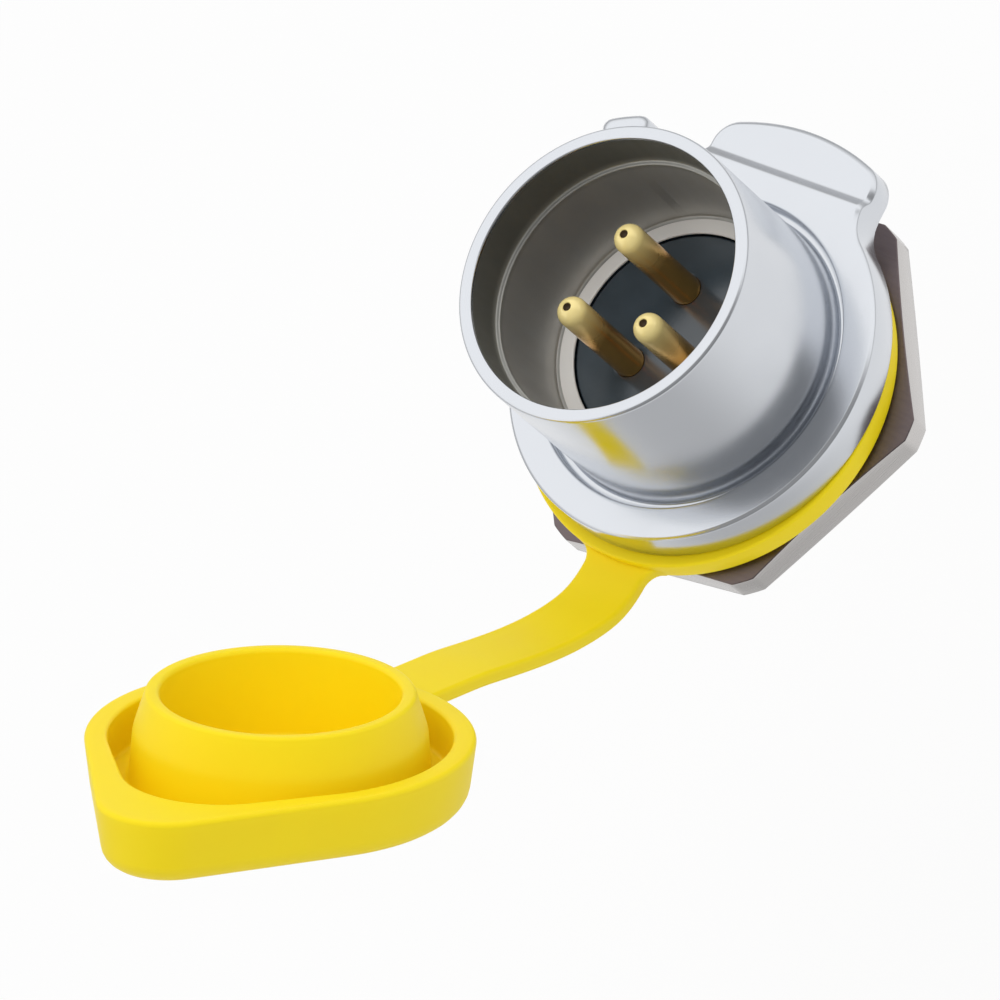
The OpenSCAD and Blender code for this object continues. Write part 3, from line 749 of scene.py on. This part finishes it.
# Moulded silicone: saturated warm yellow and satin, a little light bleeding through its thin
# walls; the tool's fine matt grain is drawn 0.3 mm across so that it shows.
SILICONE_GRAIN_W = 0.3
MOTTLE_W = 5.0
BLEED = 1.2
silicone, tree, shader, coords = new_material("yellow_silicone")
grain = add_node(tree, "ShaderNodeTexNoise", {"Scale": 1 / (SILICONE_GRAIN_W * MM), "Detail": 2.0},
                 {"Vector": coords})
mottle = add_node(tree, "ShaderNodeTexNoise", {"Scale": 1 / (MOTTLE_W * MM), "Detail": 3.0},
                  {"Vector": coords})
shade = add_node(tree, "ShaderNodeMix",
                 {"data_type": "RGBA", 6: hex_linear("#FADD08"), 7: hex_linear("#FDE30E")},
                 {0: mottle.outputs["Fac"]})
sheen = add_node(tree, "ShaderNodeMapRange", {"To Min": 0.42, "To Max": 0.56},
                 {"Value": mottle.outputs["Fac"]})
matt = add_node(tree, "ShaderNodeBump", {"Strength": 0.08, "Distance": BUMP_DEPTH * MM},
                {"Height": grain.outputs["Fac"]})
shader.inputs["Specular IOR Level"].default_value = 0.3
shader.inputs["Subsurface Weight"].default_value = 0.12
shader.inputs["Subsurface Radius"].default_value = (1.0, 0.7, 0.1)
shader.inputs["Subsurface Scale"].default_value = BLEED * MM
tree.links.new(shade.outputs[2], shader.inputs["Base Color"])
tree.links.new(sheen.outputs["Result"], shader.inputs["Roughness"])
tree.links.new(matt.outputs["Normal"], shader.inputs["Normal"])

bm = bmesh.new()
ring_section = rounded([(RING_BORE_R, 0, RING_BORE_ROUND), (RING_R, 0, LIP_ROUND),
                        (RING_R, RING_T, RING_TOP_ROUND), (RING_BORE_R, RING_T, RING_BORE_ROUND)],
                       closed=True)
ring_columns = np.linspace(0, 2 * math.pi, RING_COLUMNS, endpoint=False)
skin(bm, turned_rings(ring_section, ring_columns), loop=True,
     place=Matrix.Translation((0, -RING_SAG, 0)))

# The strap's middle line (y, z): out of the ring and round an easy bend to the cap, as a rubber
# strip hangs
STRAP_LINE = np.array(((-12.3, 0.5), (-14.2, 0.5), (-15.6, 0.62), (-17.0, 1.2), (-18.6, 2.5),
                       (-20.2, 4.1), (-21.9, 6.15), (-23.7, 8.6), (-25.3, 10.9),
                       (-28.47, 14.78), (-28.9, 15.3)))
SMOOTHINGS = 60
line = evenly(STRAP_LINE, lambda length: np.arange(0, length, STRAP_STEP))
for _ in range(SMOOTHINGS):
    line[1:-1] = (line[:-2] + 2 * line[1:-1] + line[2:]) / 4
heading = np.gradient(line, axis=0)
heading /= np.linalg.norm(heading, axis=1)[:, None]
fillet_x = STRAP_W / 2 + STRAP_FILLET_R
fillet_y = -RING_SAG - math.sqrt((RING_R + STRAP_FILLET_R) ** 2 - fillet_x ** 2)
half_t = STRAP_T / 2
strap_rings = []
for (y, z), (ahead_y, ahead_z) in zip(line, heading):
    into = min(max(y - fillet_y, 0.0), STRAP_FILLET_R - STRAP_FILLET_END)
    half_w = fillet_x - math.sqrt(STRAP_FILLET_R ** 2 - into ** 2)
    section = rounded([(-half_w, -half_t, LIP_ROUND), (half_w, -half_t, LIP_ROUND),
                       (half_w, half_t, LIP_ROUND), (-half_w, half_t, LIP_ROUND)], closed=True)
    strap_rings.append(np.array([(x, y + t * ahead_z, z - t * ahead_y) for x, t in section]))
skin(bm, [strap_rings[0].mean(axis=0)] + strap_rings + [strap_rings[-1].mean(axis=0)])


def drawn_out(round_r, end_r, reach, angles):
    """Points of a round drawn out towards -Y to a smaller round end, at angles from its middle."""
    out = reach - end_r
    turn = np.abs((angles + 1.5 * math.pi) % (2 * math.pi) - math.pi)
    tangent = math.acos((round_r - end_r) / out)
    touch = math.atan2(end_r * math.sin(tangent), out + end_r * math.cos(tangent))
    side = round_r / np.cos(np.maximum(tangent - turn, 0))
    end = out * np.cos(turn) + np.sqrt(np.maximum(end_r ** 2 - (out * np.sin(turn)) ** 2, 0))
    r = np.where(turn < touch, end, side)
    return np.column_stack((r * np.cos(angles), r * np.sin(angles)))


def offset_rings(outline, steps):
    """Rings round an outline: one for each (distance outwards, height)."""
    normals = outward(outline)
    return [np.column_stack((outline + normals * out, np.full(len(outline), z)))
            for out, z in steps]


# The cap in its own frame: its lip is at z = 0, its open side is +Z and its tab points to -Y
cap_columns = np.linspace(0, 2 * math.pi, CAP_COLUMNS, endpoint=False)
cap_edge = drawn_out(CAP_R, TAB_R, TAB_REACH, cap_columns)
recess_edge = drawn_out(RECESS_BORE_R, RECESS_R, RECESS_REACH, cap_columns)
foot = CAP_DRAFT * CAP_H / (CAP_H - CAP_EDGE_R)
skirt = rounded([(-CAP_UNDER_W, -CAP_H, 0), (-foot, -CAP_H, CAP_EDGE_R), (0, 0, LIP_ROUND),
                 (-CAP_LIP_W, 0, 0)], steps=6)
recess = rounded([(RECESS_LIP_W, 0, 0), (0, 0, RECESS_LIP_ROUND), (0, CAP_FLOOR_Z, INNER_ROUND),
                  (-RECESS_FLOOR_W, CAP_FLOOR_Z, 0)], steps=6)
plug = rounded([(PLUG_FOOT_R + RECESS_FLOOR_W, CAP_FLOOR_Z, 0),
                (PLUG_FOOT_R, CAP_FLOOR_Z, INNER_ROUND),
                (PLUG_BELLY_R, PLUG_BELLY_Z, PLUG_BELLY_ROUND), (PLUG_R, PLUG_RISE, LIP_ROUND),
                (PLUG_BORE_R, PLUG_RISE, LIP_ROUND), (PLUG_BORE_R, CAP_FLOOR_Z, PLUG_FLOOR_ROUND),
                (PLUG_FLOOR_R, CAP_FLOOR_Z, 0)], steps=6)
cap_rings = [np.array((0, 0, -CAP_H))] + turned_rings([(CAP_UNDER_R, -CAP_H)], cap_columns)
cap_rings += offset_rings(cap_edge, skirt) + offset_rings(recess_edge, recess)
cap_rings += turned_rings(plug, cap_columns) + [np.array((0, 0, CAP_FLOOR_Z))]
bend_z = STRAP_T + STRAP_BEND_R
unroll = (Matrix.Translation((0, -STRAP_BEND_Y, bend_z)) @ Matrix.Rotation(-STRAP_SWING, 4, "X")
          @ Matrix.Translation((0, 0, -bend_z)))
cap_place = (unroll @ Matrix.Translation((0, -STRAP_LEN - CAP_R, STRAP_T))
             @ Matrix.Rotation(-CAP_LEAN, 4, "Y") @ Matrix.Rotation(TAB_TURN, 4, "Z"))
skin(bm, cap_rings, place=cap_place)

sealing_cap = finished(bm, "silicone_sealing_cap", [silicone])
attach(sealing_cap, "root")
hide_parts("sealing_cap")

# Studio floor: a sheet of white paper far below the part, which is held up in the air, so that
# its shadow on the paper is wide and soft.
FLOOR_Z = -60.0
FLOOR_REACH = 3.0
floor_z = FLOOR_Z * MM
floor_mesh = bpy.data.meshes.new("studio_floor")
floor_corners = [(x * FLOOR_REACH, y * FLOOR_REACH, floor_z)
                 for x, y in ((-1, -1), (1, -1), (1, 1), (-1, 1))]
floor_mesh.from_pydata(floor_corners, [], [(0, 1, 2, 3)])
floor = bpy.data.objects.new("studio_floor", floor_mesh)
bpy.context.scene.collection.objects.link(floor)

# Matt white paper: mostly its own white to the eye, with the part's shadow in the rest. In the
# metal it shows a painted shadow below the part and painted shade far away.
SEEN_GLOW = 0.85
SHADE_MIDDLE = (0.03, -0.06, floor_z)
paper, tree, shader, coords = new_material("white_paper")
shader.inputs["Base Color"].default_value = hex_linear("#F4F4F4")
shader.inputs["Roughness"].default_value = 0.9
rays = add_node(tree, "ShaderNodeLightPath").outputs
seen = add_node(tree, "ShaderNodeMath", {"operation": "MAXIMUM"},
                {0: rays["Is Camera Ray"], 1: rays["Is Transmission Ray"]})
seen_share = add_node(tree, "ShaderNodeMath", {"operation": "MULTIPLY", 1: SEEN_GLOW},
                      {0: seen.outputs[0]})
glow_share = add_node(tree, "ShaderNodeMath", {"operation": "MAXIMUM"},
                      {0: seen_share.outputs[0], 1: rays["Is Glossy Ray"]})
away = add_node(tree, "ShaderNodeVectorMath", {"operation": "DISTANCE", 1: SHADE_MIDDLE}, {0: coords})
# Painted shadow and shade, seen only in the metal: the paper darkens near the point below the part and
# far away.
below = add_node(tree, "ShaderNodeMapRange",
                 {"interpolation_type": "SMOOTHSTEP", "From Min": 0.015, "From Max": 0.09,
                  "To Min": 0.6, "To Max": 1.0}, {"Value": away.outputs["Value"]})
far = add_node(tree, "ShaderNodeMapRange",
               {"From Min": 0.15, "From Max": 0.45, "To Min": 1.0, "To Max": 0.5},
               {"Value": away.outputs["Value"]})
reflected_painted_shade = add_node(tree, "ShaderNodeMath", {"operation": "MULTIPLY"},
                  {0: below.outputs[0], 1: far.outputs[0]})
shine = add_node(tree, "ShaderNodeMix", {"data_type": "FLOAT", 2: 1.0},
                 {0: rays["Is Glossy Ray"], 3: reflected_painted_shade.outputs[0]})
glow = add_node(tree, "ShaderNodeEmission", {"Color": (1, 1, 1, 1)}, {"Strength": shine.outputs[0]})
both = add_node(tree, "ShaderNodeMixShader", {},
                {0: glow_share.outputs[0], 1: shader.outputs[0], 2: glow.outputs[0]})
tree.links.new(both.outputs[0], tree.nodes["Material Output"].inputs["Surface"])
floor_mesh.materials.append(paper)

# Studio surround: soft light, weaker from the camera's side. The eye sees it white; in the metal
# it has the dark of the room beside the camera and dims towards the horizon.
DARK_SIDE = (0.72, -0.41, 0.56)
world = bpy.data.worlds.new("studio_surround")
bpy.context.scene.world = world
world.use_nodes = True
tree = world.node_tree
rays = add_node(tree, "ShaderNodeLightPath").outputs
direction = add_node(tree, "ShaderNodeTexCoord").outputs["Generated"]
facing = add_node(tree, "ShaderNodeVectorMath", {"operation": "DOT_PRODUCT", 1: DARK_SIDE},
                  {0: direction}).outputs["Value"]
height = add_node(tree, "ShaderNodeSeparateXYZ", {}, {0: direction}).outputs["Z"]
room = add_node(tree, "ShaderNodeMapRange",
                {"interpolation_type": "SMOOTHSTEP", "From Min": 0.50, "From Max": 0.72,
                 "To Min": 1.2, "To Max": 0.35}, {"Value": facing})
horizon = add_node(tree, "ShaderNodeMapRange", {"From Max": 0.45, "To Min": 0.5}, {"Value": height})
mirrored = add_node(tree, "ShaderNodeMath", {"operation": "MULTIPLY"},
                    {0: room.outputs[0], 1: horizon.outputs[0]})
soft = add_node(tree, "ShaderNodeMapRange", {"From Min": -1.0, "To Min": 1.12, "To Max": 0.54},
                {"Value": facing})
unseen = add_node(tree, "ShaderNodeMix", {"data_type": "FLOAT"},
                  {0: rays["Is Glossy Ray"], 2: soft.outputs[0], 3: mirrored.outputs[0]})
seen = add_node(tree, "ShaderNodeMath", {"operation": "MAXIMUM"},
                {0: rays["Is Camera Ray"], 1: rays["Is Transmission Ray"]})
level = add_node(tree, "ShaderNodeMix", {"data_type": "FLOAT", 3: 1.0},
                 {0: seen.outputs[0], 2: unseen.outputs[0]})
surround = tree.nodes["Background"]
surround.inputs["Color"].default_value = (1, 1, 1, 1)
tree.links.new(level.outputs[0], surround.inputs["Strength"])

# Lamps: two square softboxes above the part, each with its place, aim, size (metres) and power
# (watts); the metal mirrors the surround instead of them.
SOFTBOXES = (("top_softbox", (0.0, 0.25, 0.80), (0, -0.015, 0.01), 0.5, 1.8),
             ("front_softbox", (0.30, -0.27, 0.78), (0, -0.005, 0.01), 0.35, 0.8))
for name, at, aim, size, power in SOFTBOXES:
    lamp = bpy.data.lights.new(name, "AREA")
    lamp.size = size
    lamp.energy = power
    light = bpy.data.objects.new(name, lamp)
    light.location = at
    light.rotation_euler = (Vector(aim) - Vector(at)).to_track_quat("-Z", "Y").to_euler()
    light.visible_glossy = False
    bpy.context.scene.collection.objects.link(light)

# Camera: at the photograph's angle, 700 mm away; the directions of the picture's sides and the
# point in its middle are in the part's own frame.
RIGHT = Vector((0.7667, 0.4544, -0.4535))
UP = Vector((-0.2945, 0.8766, 0.3805))
TOWARDS = Vector((0.5705, -0.1582, 0.8059))
IMAGE_MIDDLE = Vector((-0.747, -15.126, 14.259))
CAMERA_DISTANCE = 700.0
FIELD_WIDTH = 61.73
lens = bpy.data.cameras.new("photo_camera")
lens.sensor_width = 36.0
lens.lens = lens.sensor_width * CAMERA_DISTANCE / FIELD_WIDTH
lens.clip_start = 0.01
camera = bpy.data.objects.new("photo_camera", lens)
view = Matrix((RIGHT, UP, TOWARDS)).transposed().to_4x4()
view.translation = (IMAGE_MIDDLE + TOWARDS * CAMERA_DISTANCE) * MM
camera.matrix_world = view
bpy.context.scene.collection.objects.link(camera)
bpy.context.scene.camera = camera
bpy.context.scene.view_settings.view_transform = "Standard"
